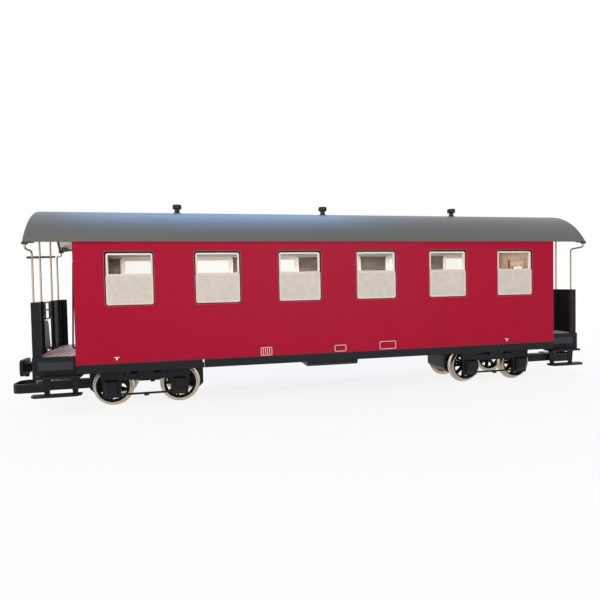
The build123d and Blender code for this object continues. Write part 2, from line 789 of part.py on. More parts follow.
# Bogies, each with its frame, side frames, tie bars and coupler
for end, sign in ends:
    centre = sign * pivot

    # Inner frame: a bolster on the pivot, a spine over the axles and an end beam past each axle
    with BuildPart() as bogie_frame:
        bolster_height = bolster_top - bolster_bottom
        with Locations((centre, 0, bolster_bottom)):
            Box(bolster_length, 2 * side_inner, bolster_height, align=low)
            Box(2 * end_beam_outer, spine_width, bolster_height, align=low)
        beam_middle = (end_beam_inner + end_beam_outer) / 2
        for way in (-1, 1):
            with BuildSketch(Plane.XZ.offset(end_beam_width / 2)):
                with Locations((centre + way * beam_middle, end_beam_bottom)):
                    Rectangle(
                        end_beam_outer - end_beam_inner,
                        bolster_top - end_beam_bottom,
                        align=(Align.CENTER, Align.MIN),
                    )
                chamfer(vertices().group_by(Axis.Z)[0], length=end_beam_chamfer)
            extrude(amount=-end_beam_width)
        with Locations((centre, 0, bolster_bottom)):
            Cylinder(pivot_radius + running_gap, bolster_height, align=low, mode=Mode.SUBTRACT)
    bogie_frame.part.label = f"bogie_frame_{end}"
    export_step(bogie_frame.part, f"parts/bogie_frame_{end}.step")

    # Side frames: a straight beam on two horn plates that hold the axle boxes, with an arched bar
    # and its struts over a spring block
    with BuildPart() as bogie_sides:
        half_base = wheelbase / 2
        box_reach = half_base - axle_box_width / 2
        with BuildSketch(Plane.XZ.offset(side_outer)):
            with Locations((centre, beam_bottom)):
                Rectangle(wheelbase, beam_top - beam_bottom, align=(Align.CENTER, Align.MIN))
                Rectangle(2 * spring_block_half, spring_top - beam_bottom, align=(Align.CENTER, Align.MIN))
            for way in (-1, 1):
                horn_x = centre + way * half_base
                arch_foot = centre + way * (box_reach - arch_thickness)
                spring_x = centre + way * spring_block_half
                strut_x = (arch_foot + spring_x) / 2
                strut_top = (beam_top + spring_top) / 2
                with Locations((horn_x, horn_bottom)):
                    Polygon(
                        (-horn_foot_width / 2, 0),
                        (horn_foot_width / 2, 0),
                        (horn_top_width / 2, horn_top - horn_bottom),
                        (-horn_top_width / 2, horn_top - horn_bottom),
                        align=None,
                    )
                with BuildLine():
                    Polyline(
                        (horn_x, beam_top),
                        (spring_x, spring_top),
                        (spring_x, spring_top - arch_thickness),
                        (arch_foot, beam_top),
                        close=True,
                    )
                make_face()
                with Locations((strut_x, beam_top)):
                    Rectangle(strut_width, strut_top - beam_top, align=(Align.CENTER, Align.MIN))
        extrude(amount=-(side_outer - side_inner))
        for way in (-1, 1):
            horn_x = centre + way * half_base
            box_height = axle_box_top - axle_box_bottom
            with Locations((horn_x, -bearing_outer, axle_box_bottom)):
                Box(
                    axle_box_width,
                    bearing_outer - bearing_inner,
                    box_height,
                    align=(Align.CENTER, Align.MIN, Align.MIN),
                )
        chamfer(bogie_sides.edges().group_by(Axis.Y)[0], length=axle_box_chamfer)
        for way in (-1, 1):
            horn_x = centre + way * half_base
            with Locations((horn_x, -bearing_outer, axle_height)):
                Box(lid_width, 2 * lid_thickness, lid_height)
            with Locations((horn_x, -(bearing_inner + bearing_depth / 2), axle_height)):
                Cylinder(axle_radius + running_gap, bearing_depth, rotation=(90, 0, 0), mode=Mode.SUBTRACT)
        mirror(about=Plane.XZ)
    bogie_sides.part.label = f"bogie_sides_{end}"
    export_step(bogie_sides.part, f"parts/bogie_sides_{end}.step")

    # Tie bars between the horn plates' feet, with a small bracket
    with BuildPart() as tie_bars:
        tie_y = -(side_inner + side_outer) / 2
        tie_top = tie_bar_height + tie_bar_size / 2
        horn_taper = (horn_top_width - horn_foot_width) / (horn_top - horn_bottom)
        horn_half = (horn_foot_width + horn_taper * (tie_top - horn_bottom)) / 2
        with Locations((centre, tie_y, tie_bar_height)):
            Box(wheelbase - 2 * horn_half, tie_bar_size, tie_bar_size)
        with Locations((centre, tie_y, tie_bar_height)):
            Box(tie_bracket_size, tie_bar_size, tie_bracket_height, align=high)
        mirror(about=Plane.XZ)
    tie_bars.part.label = f"tie_bars_{end}"
    export_step(tie_bars.part, f"parts/tie_bars_{end}.step")

    # Coupler: a flat loop on an arm from the end beam
    with BuildPart() as coupler:
        arm_start = pivot + end_beam_outer
        with BuildSketch(Plane.XY.offset(coupler_bottom)):
            with Locations((sign * (headstock + coupler_reach / 2), 0)):
                Rectangle(coupler_reach, 2 * coupler_half_width)
            fillet(vertices().group_by(Axis.X)[0 if sign < 0 else -1], radius=coupler_corner)
            offset(amount=-coupler_band, mode=Mode.SUBTRACT)
        extrude(amount=coupler_top - coupler_bottom)
        with Locations((sign * (arm_start + headstock) / 2, 0, coupler_bottom)):
            Box(headstock - arm_start, coupler_arm_width, coupler_top - coupler_bottom, align=low)
    coupler.part.label = f"coupler_{end}"
    export_step(coupler.part, f"parts/coupler_{end}.step")

    # Bent hook of bare metal on top of the coupler's rear bar
    with BuildPart() as coupler_hook:
        hook_root = headstock - hook_length / 3
        with BuildSketch(Plane.XZ.offset(hook_width / 2)):
            with BuildLine():
                Polyline(
                    (sign * hook_root, coupler_top),
                    (sign * (hook_root + hook_length), coupler_top),
                    (sign * (hook_root + hook_length), coupler_top - hook_tip),
                    (sign * (hook_root + hook_length + hook_thickness), coupler_top - hook_tip),
                    (sign * (hook_root + hook_length + hook_thickness), coupler_top + hook_thickness),
                    (sign * hook_root, coupler_top + hook_thickness),
                    close=True,
                )
            make_face()
        extrude(amount=-hook_width)
    coupler_hook.part.label = f"coupler_hook_{end}"
    export_step(coupler_hook.part, f"parts/coupler_hook_{end}.step")

    # Wheelsets: an axle with two bright tyres on spoked centres
    for number, way in ((1, -1), (2, 1)):
        axle_x = centre + way * wheelbase / 2
        name = f"{end}_{number}"
        wheel_back = back_to_back / 2
        bore = tread_radius - tyre_thickness

        with BuildPart() as axle:
            with Locations((axle_x, 0, axle_height)):
                Cylinder(axle_radius, axle_length - 2 * side_gap, rotation=(90, 0, 0))
        axle.part.label = f"axle_{name}"
        export_step(axle.part, f"parts/axle_{name}.step")

        # Tyres: many-sided rings with a chamfered flange behind the tread
        with BuildPart() as tyres:
            back_face = Plane((axle_x, -wheel_back, axle_height), x_dir=(1, 0, 0), z_dir=(0, -1, 0))
            with BuildSketch(back_face):
                RegularPolygon(axle_height, tyre_sides)
            extrude(amount=flange_width)
            chamfer(tyres.edges().group_by(Axis.Y)[0], length=flange_chamfer)
            with BuildSketch(back_face):
                RegularPolygon(tread_radius, tyre_sides)
            extrude(amount=tyre_width)
            with BuildSketch(back_face):
                RegularPolygon(bore, tyre_sides)
            extrude(amount=tyre_width, mode=Mode.SUBTRACT)
            mirror(about=Plane.XZ)
        tyres.part.label = f"tyres_{name}"
        export_step(tyres.part, f"parts/tyres_{name}.step")

        # Spoked centres, pressed on the axle inside the tyres
        with BuildPart() as centres:
            centre_inset = (tyre_width - centre_width) / 2
            window_inner = hub_radius
            window_outer = bore - centre_rim
            half_spoke = spoke_width / 2
            spread = tan(pi / spoke_count)
            with BuildSketch(back_face.offset(centre_inset)):
                RegularPolygon(bore - fitting_gap, tyre_sides)
                RegularPolygon(
                    axle_radius + fitting_gap, hub_sides, major_radius=False, mode=Mode.SUBTRACT
                )
                with PolarLocations(0, spoke_count):
                    Polygon(
                        (window_inner, half_spoke - window_inner * spread),
                        (window_outer, half_spoke - window_outer * spread),
                        (window_outer, window_outer * spread - half_spoke),
                        (window_inner, window_inner * spread - half_spoke),
                        align=None,
                        mode=Mode.SUBTRACT,
                    )
            extrude(amount=centre_width)
            mirror(about=Plane.XZ)
        centres.part.label = f"wheel_centres_{name}"
        export_step(centres.part, f"parts/wheel_centres_{name}.step")
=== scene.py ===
"""Looks of a model railway coach with open end platforms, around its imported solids."""
from math import radians

import bmesh
import bpy
import numpy as np
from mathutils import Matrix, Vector


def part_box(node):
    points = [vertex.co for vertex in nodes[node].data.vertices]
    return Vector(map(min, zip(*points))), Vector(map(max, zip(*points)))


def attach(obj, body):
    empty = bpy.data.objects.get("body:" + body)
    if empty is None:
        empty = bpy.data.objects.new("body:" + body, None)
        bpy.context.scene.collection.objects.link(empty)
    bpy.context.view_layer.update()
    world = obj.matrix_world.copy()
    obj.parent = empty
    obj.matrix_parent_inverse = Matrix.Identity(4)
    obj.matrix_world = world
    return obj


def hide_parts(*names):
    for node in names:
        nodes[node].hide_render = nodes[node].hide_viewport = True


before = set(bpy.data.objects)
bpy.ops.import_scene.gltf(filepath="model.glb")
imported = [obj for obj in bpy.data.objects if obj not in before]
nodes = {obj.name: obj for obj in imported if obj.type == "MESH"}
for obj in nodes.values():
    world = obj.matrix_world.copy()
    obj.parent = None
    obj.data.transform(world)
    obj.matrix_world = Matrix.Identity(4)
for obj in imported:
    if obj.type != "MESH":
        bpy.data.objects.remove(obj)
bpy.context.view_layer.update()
mm = 0.001

# Underframe, platforms, railings and bogies.
# These are injection mouldings in self-coloured black plastic with a satin, slightly grained
# skin. Their edges are a little rounded, as the mould leaves them, and catch the light.


def srgb(red, green, blue):
    """Linear colour of an sRGB triple given from 0 to 255."""
    share = np.array([red, green, blue]) / 255
    linear = np.where(share <= 0.04045, share / 12.92, ((share + 0.055) / 1.055) ** 2.4)
    return (*linear, 1.0)


def add(tree, kind, links=(), **settings):
    """A node in the tree, with its settings, and links given as (output, input name or number)."""
    made = tree.nodes.new(kind)
    for label, value in settings.items():
        if hasattr(made, label) and label not in made.inputs:
            setattr(made, label, value)
        else:
            made.inputs[label].default_value = value
    for source, target in links:
        tree.links.new(source, made.inputs[target])
    return made


def node_group(name, inputs, outputs):
    """An empty shader node group with the named sockets, and its input and output nodes."""
    group = bpy.data.node_groups.new(name, "ShaderNodeTree")
    for label, kind, value in inputs:
        socket = group.interface.new_socket(label, in_out="INPUT", socket_type=kind)
        socket.default_value = value
    for label, kind in outputs:
        group.interface.new_socket(label, in_out="OUTPUT", socket_type=kind)
    return group, group.nodes.new("NodeGroupInput"), group.nodes.new("NodeGroupOutput")


surface_outputs = [
    ("Color", "NodeSocketColor"),
    ("Roughness", "NodeSocketFloat"),
    ("Height", "NodeSocketFloat"),
]


def make_skin_group():
    """Fine skin of a moulded, sprayed or plated surface.

    A fine noise on Object coordinates gives the bump's height and spreads the roughness. A broad
    noise, less its mean and times Tint, brightens or darkens the colour.
    """
    group, entry, result = node_group(
        "moulded skin",
        [
            ("Color", "NodeSocketColor", (0.5, 0.5, 0.5, 1)),
            ("Grain", "NodeSocketFloat", 900.0),
            ("Patch", "NodeSocketFloat", 22.0),
            ("Roughness", "NodeSocketFloat", 0.4),
            ("Spread", "NodeSocketFloat", 0.1),
            ("Tint", "NodeSocketFloat", 0.06),
        ],
        surface_outputs,
    )
    where = add(group, "ShaderNodeTexCoord").outputs["Object"]
    fine, broad = (
        add(group, "ShaderNodeTexNoise", [(where, "Vector"), (entry.outputs[size], "Scale")], Detail=3.0)
        for size in ("Grain", "Patch")
    )
    centred = add(group, "ShaderNodeMath", [(broad.outputs["Fac"], 0)], operation="SUBTRACT")
    centred.inputs[1].default_value = 0.5
    bright = add(
        group,
        "ShaderNodeMath",
        [(centred.outputs[0], 0), (entry.outputs["Tint"], 1)],
        operation="MULTIPLY_ADD",
    )
    bright.inputs[2].default_value = 1.0
    tinted = add(
        group,
        "ShaderNodeVectorMath",
        [(entry.outputs["Color"], 0), (bright.outputs[0], "Scale")],
        operation="SCALE",
    )
    rough = add(
        group,
        "ShaderNodeMath",
        [(fine.outputs["Fac"], 0), (entry.outputs["Spread"], 1), (entry.outputs["Roughness"], 2)],
        operation="MULTIPLY_ADD",
    )
    group.links.new(tinted.outputs["Vector"], result.inputs["Color"])
    group.links.new(rough.outputs[0], result.inputs["Roughness"])
    group.links.new(fine.outputs["Fac"], result.inputs["Height"])
    return group


moulded_skin = make_skin_group()


def finish_from(name, group, values, bump, depth):
    """A material whose colour, roughness and bump come from a surface group with the given values."""
    material = bpy.data.materials.new(name)
    material.use_nodes = True
    tree = material.node_tree
    shader = tree.nodes["Principled BSDF"]
    skin = add(tree, "ShaderNodeGroup", node_tree=group)
    for label, value in values.items():
        skin.inputs[label].default_value = value
    height = skin.outputs["Height"]
    relief = add(tree, "ShaderNodeBump", [(height, "Height")], Strength=bump, Distance=depth * mm)
    tree.links.new(skin.outputs["Color"], shader.inputs["Base Color"])
    tree.links.new(skin.outputs["Roughness"], shader.inputs["Roughness"])
    tree.links.new(relief.outputs["Normal"], shader.inputs["Normal"])
    return material, shader


def moulded(name, colour, grain, roughness, spread, tint, bump, patch=22.0, metallic=0.0, shine=0.22):
    """A moulded, sprayed or plated finish, with the bump of its fine skin."""
    values = {
        "Color": colour,
        "Grain": grain,
        "Patch": patch,
        "Roughness": roughness,
        "Spread": spread,
        "Tint": tint,
    }
    material, shader = finish_from(name, moulded_skin, values, bump, depth=0.02)
    shader.inputs["Metallic"].default_value = metallic
    shader.inputs["Specular IOR Level"].default_value = shine
    return material


def dress(material, *names, edge=0.16):
    """Gives solids a material and rounds their edges by the given radius in millimetres."""
    for name in names:
        node = nodes[name]
        mesh = node.data
        mesh.materials.clear()
        mesh.materials.append(material)
        mesh.polygons.foreach_set("material_index", np.zeros(len(mesh.polygons), np.int32))
        mesh.polygons.foreach_set("use_smooth", np.ones(len(mesh.polygons), bool))
        node.modifiers.new("weld", "WELD").merge_threshold = 0.001 * mm
        bevel = node.modifiers.new("moulded edge", "BEVEL")
        bevel.limit_method = "ANGLE"
        bevel.angle_limit = radians(32)
        bevel.segments = 2
        bevel.width = edge * mm
        node.modifiers.new("even normals", "WEIGHTED_NORMAL").keep_sharp = False


ends = {"left": -1, "right": 1}
black_plastic = moulded(
    "black moulding",
    srgb(12, 12, 16),
    grain=2200, roughness=0.34, spread=0.16, tint=0.5, patch=60, bump=0.25,
)
platform_kinds = ("underframe", "steps", "buffer", "railing", "gate")
bogie_kinds = ("bogie_frame", "bogie_sides", "tie_bars", "coupler")
dress(
    black_plastic,
    "underframe_centre",
    "underfloor_box",
    *[f"{kind}_{end}" for kind in platform_kinds + bogie_kinds for end in ends],
)

# Bolt heads and rivets.
# Small round heads hold the lids of the axle boxes, the underfloor box and the railings' sheets.
# They are domes moulded in the same black plastic.
head_radius = 0.55 * mm
head_height = 0.4 * mm
bolt_reach = 2.8 * mm
box_bolt_reach = 40.0 * mm
sheet_outside = 262.0 * mm
sheet_thickness = 1.2 * mm
rivet_lines = np.array([20.5, 34.0]) * mm


def span(name):
    """Lowest and highest corner of a solid's box."""
    return [np.array(corner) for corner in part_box(name)]


def surface(points, wrap_rows=False, wrap_columns=False):
    """Vertices and quads of a grid of points. A wrapped direction joins its last line to its first."""
    rows, columns = points.shape[:2]
    index = np.arange(rows * columns).reshape(rows, columns)
    if wrap_rows:
        index = np.vstack([index, index[:1]])
    if wrap_columns:
        index = np.hstack([index, index[:, :1]])
    quads = np.stack([index[:-1, :-1], index[1:, :-1], index[1:, 1:], index[:-1, 1:]], axis=-1)
    return points.reshape(-1, 3), quads.reshape(-1, 4)


def piece(name, surfaces, material, body, slot, *replaced):
    """One object from several surfaces, on a body; its slot argument is not used.

    Doubles are merged, faces point outwards, and edges over 50 degrees are left sharp.
    """
    counts = np.cumsum([0] + [len(vertices) for vertices, quads in surfaces])
    vertices = np.concatenate([vertices for vertices, quads in surfaces])
    quads = np.concatenate([quads + start for (points, quads), start in zip(surfaces, counts)])
    mesh = bpy.data.meshes.new(name)
    mesh.from_pydata(vertices.tolist(), [], quads.tolist())
    shape = bmesh.new()
    shape.from_mesh(mesh)
    bmesh.ops.remove_doubles(shape, verts=shape.verts, dist=0.002 * mm)
    bmesh.ops.recalc_face_normals(shape, faces=shape.faces)
    shape.to_mesh(mesh)
    shape.free()
    mesh.polygons.foreach_set("use_smooth", np.ones(len(mesh.polygons), bool))
    mesh.set_sharp_from_angle(angle=radians(50))
    mesh.materials.append(material)
    made = bpy.data.objects.new(name, mesh)
    bpy.context.scene.collection.objects.link(made)
    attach(made, body)
    if replaced:
        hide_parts(*replaced)
    return made


def heads(places, out):
    """A dome at each place, standing out along the axis out.

    A quarter circle of rings goes from the foot, a little below the place, to the tip. The foot
    ring is closed by a point in its middle.
    """
    out = np.array(out, float)
    across = np.roll(out, 1)
    along = np.cross(out, across)
    rise = np.linspace(0, np.pi / 2, 4)
    radius = np.concatenate([[0, 1], np.cos(rise)]) * head_radius
    foot = -0.2
    height = np.concatenate([[foot, foot], np.sin(rise)]) * head_height
    turn = np.linspace(0, 2 * np.pi, 8, endpoint=False)
    ring = np.cos(turn)[:, None] * across + np.sin(turn)[:, None] * along
    dome = radius[:, None, None] * ring + height[:, None, None] * out
    return [surface(dome + place, wrap_columns=True) for place in np.array(places)]


for end in ends:
    side_low, side_high = span(f"bogie_sides_{end}")
    lid_bolts = []
    for number in (1, 2):
        middle = sum(span(f"axle_{end}_{number}")) / 2
        lid = [(x, z) for x in (-bolt_reach, bolt_reach) for z in (-bolt_reach, bolt_reach)]
        for face, out in ((side_low[1], (0, -1, 0)), (side_high[1], (0, 1, 0))):
            lid_bolts += heads([(middle[0] + x, face, middle[2] + z) for x, z in lid], out)
    piece(f"lid_bolts_{end}", lid_bolts, black_plastic, f"bogie_{end}", "black_plastic")
box_low, box_high = span("underfloor_box")
box_places = [
    (x, y, box_low[2])
    for x in np.linspace(box_low[0], box_high[0], 6)[1:-1]
    for y in (-box_bolt_reach, box_bolt_reach)
]
piece("box_bolts", heads(box_places, (0, 0, -1)), black_plastic, "coach_body", "black_plastic")
for end, sign in ends.items():
    rail_low, rail_high = span(f"railing_{end}")
    sheet_inside = sign * (sheet_outside - sheet_thickness)
    rivets = [
        (sheet_inside, side * y, z)
        for side in (-1, 1)
        for y in rivet_lines
        for z in np.linspace(rail_low[2], rail_high[2], 6)[1:-1]
    ]
    piece(f"railing_rivets_{end}", heads(rivets, (-sign, 0, 0)), black_plastic, "coach_body", "black_plastic")

# Planked decks.
# Each platform has a deck of moulded planks in brown grey, rubbed paler along the grain, which
# runs across the coach.


def make_wood_group():
    """Grain of wood or of planks painted to look like it.

    Object coordinates times Stretch feed a distorted noise, which mixes the dark and the light
    colour and gives the bump's height and the roughness.
    """
    group, entry, result = node_group(
        "wood grain",
        [
            ("Dark", "NodeSocketColor", (0.1, 0.08, 0.06, 1)),
            ("Light", "NodeSocketColor", (0.3, 0.25, 0.2, 1)),
            ("Stretch", "NodeSocketVector", (100, 100, 100)),
            ("Roughness", "NodeSocketFloat", 0.5),
        ],
        surface_outputs,
    )
    where = add(group, "ShaderNodeTexCoord").outputs["Object"]
    drawn = add(
        group,
        "ShaderNodeVectorMath",
        [(where, 0), (entry.outputs["Stretch"], 1)],
        operation="MULTIPLY",
    )
    grain = add(group, "ShaderNodeTexNoise", [(drawn.outputs["Vector"], "Vector")], Scale=1.0, Detail=4.0)
    grain.inputs["Distortion"].default_value = 0.8
    noise = grain.outputs["Fac"]
    band = add(group, "ShaderNodeMapRange", [(noise, "Value")], interpolation_type="SMOOTHSTEP")
    band.inputs["From Min"].default_value = 0.34
    band.inputs["From Max"].default_value = 0.68
    tone = add(
        group,
        "ShaderNodeMix",
        [(band.outputs["Result"], "Factor"), (entry.outputs["Dark"], 6), (entry.outputs["Light"], 7)],
        data_type="RGBA",
    )
    rough = add(
        group,
        "ShaderNodeMath",
        [(noise, 0), (entry.outputs["Roughness"], 2)],
        operation="MULTIPLY_ADD",
    )
    rough.inputs[1].default_value = 0.2
    group.links.new(tone.outputs[2], result.inputs["Color"])
    group.links.new(rough.outputs[0], result.inputs["Roughness"])
    group.links.new(noise, result.inputs["Height"])
    return group


wood_grain = make_wood_group()


def wooden(name, dark, light, stretch, roughness, bump):
    """A wood finish whose grain is drawn out along the axis with the smallest stretch."""
    values = {"Dark": dark, "Light": light, "Stretch": stretch, "Roughness": roughness}
    return finish_from(name, wood_grain, values, bump, depth=0.1)[0]


def block(low, high):
    """A closed box between two corners: a rectangle at its lowest and highest level, and both middles."""
    low, high = np.array(low), np.array(high)
    edge = low + (high - low) * np.array([(0, 0, 0), (1, 0, 0), (1, 1, 0), (0, 1, 0)])
    rise = (high - low) * np.array([0, 0, 1])
    foot = np.tile(edge.mean(axis=0), (4, 1))
    return surface(np.stack([foot, edge, edge + rise, foot + rise]), wrap_columns=True)


deck_planks = wooden("deck planks", srgb(214, 182, 158), srgb(255, 238, 216), (900, 60, 900), 0.42, 0.3)
dress(deck_planks, *[f"deck_{end}" for end in ends])
seam_dark = moulded(
    "seam dark",
    srgb(48, 42, 40),
    grain=1500, roughness=0.6, spread=0.1, tint=0.2, bump=0.1,
)
seam_width = 0.5 * mm
seam_height = 0.06 * mm
seam_inset = 1.0 * mm
for end in ends:
    deck_low, deck_high = span(f"deck_{end}")
    seams = [
        block(
            (x, deck_low[1] + seam_inset, deck_high[2]),
            (x + seam_width, deck_high[1] - seam_inset, deck_high[2] + seam_height),
        )
        for x in np.linspace(deck_low[0], deck_high[0], 8)[1:-1]
    ]
    piece(f"plank_seams_{end}", seams, seam_dark, "coach_body", "deck_planks")

# Fall plates.
# A plate at each end bridges the way to the next coach. It is a dark grey moulding that folds up in
# the gap of the end railing, on a pin in the headstock's lugs.
plate_grey = moulded(
    "plate grey",
    srgb(92, 92, 94),
    grain=1500, roughness=0.36, spread=0.14, tint=0.3, bump=0.2,
)
dress(plate_grey, *[f"fall_plate_{end}" for end in ends])

# Roof posts, crossbar and handrails.
# The posts are bent from nickelled wire: the inner pair straight, the corner pair cranked out to
# the roof's corners. One end has a brown rod across them. The handrails are black wire.
post_radius = 0.8 * mm
crank_bend = 3.0 * mm


def rounded(corners, cut, steps=7, closed=False):
    """Points along a line whose corners are replaced by parabolas.

    Each parabola has the corner as its control point and starts and ends the length cut away
    from it, or less than half of the way to the next corner.
    """
    corners = np.array(corners, float)
    ways = []
    for other in (np.roll(corners, 1, axis=0), np.roll(corners, -1, axis=0)):
        reach = np.linalg.norm(other - corners, axis=1, keepdims=True)
        ways.append(corners + (other - corners) * np.minimum(cut / reach, 0.45))
    t = np.linspace(0, 1, steps)[:, None, None]
    bend = (1 - t) ** 2 * ways[0] + 2 * t * (1 - t) * corners + t**2 * ways[1]
    if closed:
        return bend.transpose(1, 0, 2).reshape(-1, corners.shape[1])
    inner = bend[:, 1:-1].transpose(1, 0, 2).reshape(-1, corners.shape[1])
    return np.vstack([corners[:1], inner, corners[-1:]])


def wire(path, radius, across, sides=16):
    """A round wire along a path in a plane, whose normal is across.

    Each ring lies in the plane of across and of the path's tangent turned by a right angle. The
    ends are closed by rings of no radius.
    """
    path = np.array(path, float)
    path = np.vstack([path[:1], path, path[-1:]])
    tangent = np.gradient(path[1:-1], axis=0)
    tangent = np.vstack([tangent[:1], tangent, tangent[-1:]])
    tangent /= np.linalg.norm(tangent, axis=1, keepdims=True)
    across = np.array(across, float)
    beside = np.cross(tangent, across)
    size = np.full(len(path), radius)
    size[[0, -1]] = 0
    turn = np.linspace(0, 2 * np.pi, sides, endpoint=False)[None, :, None]
    ring = np.cos(turn) * across + np.sin(turn) * beside[:, None, :]
    return surface(path[:, None, :] + size[:, None, None] * ring, wrap_columns=True)


wire_nickel = moulded(
    "nickelled wire",
    srgb(184, 168, 146),
    grain=1800, roughness=0.3, spread=0.2, tint=0.4, bump=0.1, metallic=1.0,
)
mid_post = 16.5 * mm
corner_post = 38.0 * mm
socket_post = 54.9 * mm
crank_low = 137.2 * mm
crank_high = 138.3 * mm
post_tip = 142.6 * mm
for end in ends:
    post_low, post_high = span(f"posts_{end}")
    post_x = (post_low[0] + post_high[0]) / 2
    wires = []
    for side in (-1, 1):
        foot = (post_x, side * corner_post, post_low[2])
        crank = [(post_x, side * corner_post, crank_low), (post_x, side * socket_post, crank_high)]
        cranked = [foot, *crank, (post_x, side * socket_post, post_tip)]
        wires.append(wire(rounded(cranked, crank_bend), post_radius, (1, 0, 0)))
        straight = [(post_x, side * mid_post, z) for z in (post_low[2], post_high[2])]
        wires.append(wire(straight, post_radius, (1, 0, 0)))
    piece(f"post_wires_{end}", wires, wire_nickel, "coach_body", "post_wire", f"posts_{end}")

rod_brown = moulded(
    "brown rod",
    srgb(92, 68, 54),
    grain=1800, roughness=0.4, spread=0.15, tint=0.3, bump=0.2,
)
rod_low, rod_high = span("crossbar")
rod_x, rod_z = (rod_low[[0, 2]] + rod_high[[0, 2]]) / 2
rod_reach = np.array([-43.2, 36.5]) * mm
rod_tilt = np.array([-1.2, 3.9]) * mm
rod_ends = [(rod_x, y, rod_z + rise) for y, rise in zip(rod_reach, rod_tilt)]
rod = wire(rod_ends, (rod_high[0] - rod_low[0]) / 2, (1, 0, 0))
piece("cross_rod", [rod], rod_brown, "coach_body", "crossbar_brown", "crossbar")

grip_radius = 0.7 * mm
grip_bend = 2.0 * mm
grip_lean = 2.2 * mm
grip_inset = 0.9 * mm
grip_low, grip_high = span("handrails")
grip_foot = grip_low[2] + grip_inset
grip_head = grip_high[2] - grip_inset
grip_wires = []
for sign in ends.values():
    wall_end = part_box("side_wall_near")[int(sign > 0)][0]
    foot_x = (grip_high[0] - grip_radius) * sign
    head_x = foot_x - sign * grip_lean
    for y in (grip_low[1] + grip_inset, grip_high[1] - grip_inset):
        bar = [(foot_x, y, grip_foot), (head_x, y, grip_head)]
        bent = [(wall_end, y, grip_foot), *bar, (wall_end, y, grip_head)]
        grip_wires.append(wire(rounded(bent, grip_bend), grip_radius, (0, 1, 0)))
piece("handrail_wires", grip_wires, black_plastic, "coach_body", "black_plastic", "handrails")

# Fascia panels.
# The sides of the platforms' beds are panelled in the black moulding: a plain field inside a raised bead.
# The field's paler grey is a painted sheen.
fascia_face = 46.0 * mm
fascia_size = np.array([29.5, 9.0]) * mm
fascia_middle = np.array([244.25, 41.5]) * mm
fascia_radius = 0.6 * mm
field_inset = 0.8 * mm
least_radius = 0.3 * mm


def framed(x, face, z, size, radius, profile, side):
    """A closed frame round (x, z) on the side of the coach, whose face lies that far from the middle.

    Each profile point, an inset and a depth behind the face, gives a rounded rectangle that much
    smaller at that depth. The profile and the rectangle both close on themselves.
    """
    rings = []
    for inset, depth in np.array(profile) * mm:
        half = np.array(size) / 2 - inset
        corners = half * np.array([(-1, -1), (1, -1), (1, 1), (-1, 1)])
        outline = rounded(corners, max(radius - inset, least_radius), closed=True)
        level = np.full(len(outline), side * (face - depth))
        rings.append(np.stack([x + outline[:, 0], level, z + outline[:, 1]], axis=-1))
    return surface(np.stack(rings), wrap_rows=True, wrap_columns=True)


# The field's grey, paler than the black moulding, is a painted sheen.
field_sheen_black = moulded(
    "panel black painted sheen",
    srgb(52, 54, 58),
    grain=2200, roughness=0.3, spread=0.12, tint=0.3, bump=0.2,
)
panel_bead = ((0.0, 0.85), (0.0, 0.2), (0.3, 0.02), (0.8, 0.02), (1.1, 0.2), (1.1, 0.85))
panel_depth = np.array([0.6, 0.85]) * mm
for end, sign in ends.items():
    panel_x, panel_z = fascia_middle * (sign, 1)
    half_long, half_tall = fascia_size / 2 - field_inset
    panel_beads, panel_fields = [], []
    for side in (-1, 1):
        bead = framed(panel_x, fascia_face, panel_z, fascia_size, fascia_radius, panel_bead, side)
        panel_beads.append(bead)
        faces = np.sort(side * (fascia_face - panel_depth))
        panel_fields.append(
            block(
                (panel_x - half_long, faces[0], panel_z - half_tall),
                (panel_x + half_long, faces[1], panel_z + half_tall),
            )
        )
    piece(f"fascia_beads_{end}", panel_beads, black_plastic, "coach_body", "black_plastic")
    piece(f"fascia_fields_{end}", panel_fields, field_sheen_black, "coach_body", "black_plastic")

# Red body walls.
# The side walls, end walls and doors are plastic mouldings, sprayed in a semi-gloss carmine red
# whose film shows a slight orange peel.
red_paint = moulded(
    "carmine paint",
    srgb(165, 14, 46),
    grain=1400, roughness=0.32, spread=0.1, tint=0.22, patch=6, bump=0.1, shine=0.09,
)
dress(
    red_paint,
    "side_wall_near",
    "side_wall_far",
    *[f"{kind}_{end}" for kind in ("end_wall", "door") for end in ends],
)

# Feet of the end walls.
# Below the arch each end wall runs down square to the floor beside the doorway. These red corner
# sheets stand on the sill and carry the handrails' lower feet.
arch_low, arch_high = span("end_wall_right")
arch_radius = (arch_high[2] - arch_low[2]) / 2
arch_centre = (arch_high[2] + arch_low[2]) / 2
foot_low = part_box("side_wall_near")[0][2]
doorway_half = 13.6 * mm
foot_outer = arch_high[1]
foot_lap = 0.25 * mm
foot_faces = np.array([224.0, 226.54]) * mm


def wall_foot(sign, side):
    """A corner sheet: a rectangle carried across the coach, from the doorway to the side wall.

    Its lower edge is level. Its upper edge follows the lower half of the arch's circle and laps a
    little over it. A point in the middle of the first and last rectangle closes each end.
    """
    across = np.linspace(doorway_half, foot_outer, 33)
    top = arch_centre - np.sqrt(arch_radius**2 - across**2) + foot_lap
    low = np.full_like(across, foot_low)
    rings = np.stack(
        [
            np.stack([np.full_like(across, sign * face), side * across, level], axis=-1)
            for face, level in zip(foot_faces[[0, 0, 1, 1]], (low, top, top, low))
        ],
        axis=1,
    )
    caps = [np.tile(ring.mean(axis=0), (1, 4, 1)) for ring in (rings[0], rings[-1])]
    return surface(np.concatenate([caps[0], rings, caps[1]]), wrap_columns=True)


for end, sign in ends.items():
    feet = [wall_foot(sign, side) for side in (-1, 1)]
    piece(f"wall_feet_{end}", feet, red_paint, "coach_body", "body_red")

# Panel marks on the near wall.
# Small white marks are printed on the red: a grid of five columns, two empty panel outlines and a
# jacking mark over each bogie.
mark_film = 0.03 * mm
line_width = 0.4 * mm
wall_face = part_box("side_wall_near")[0][1]


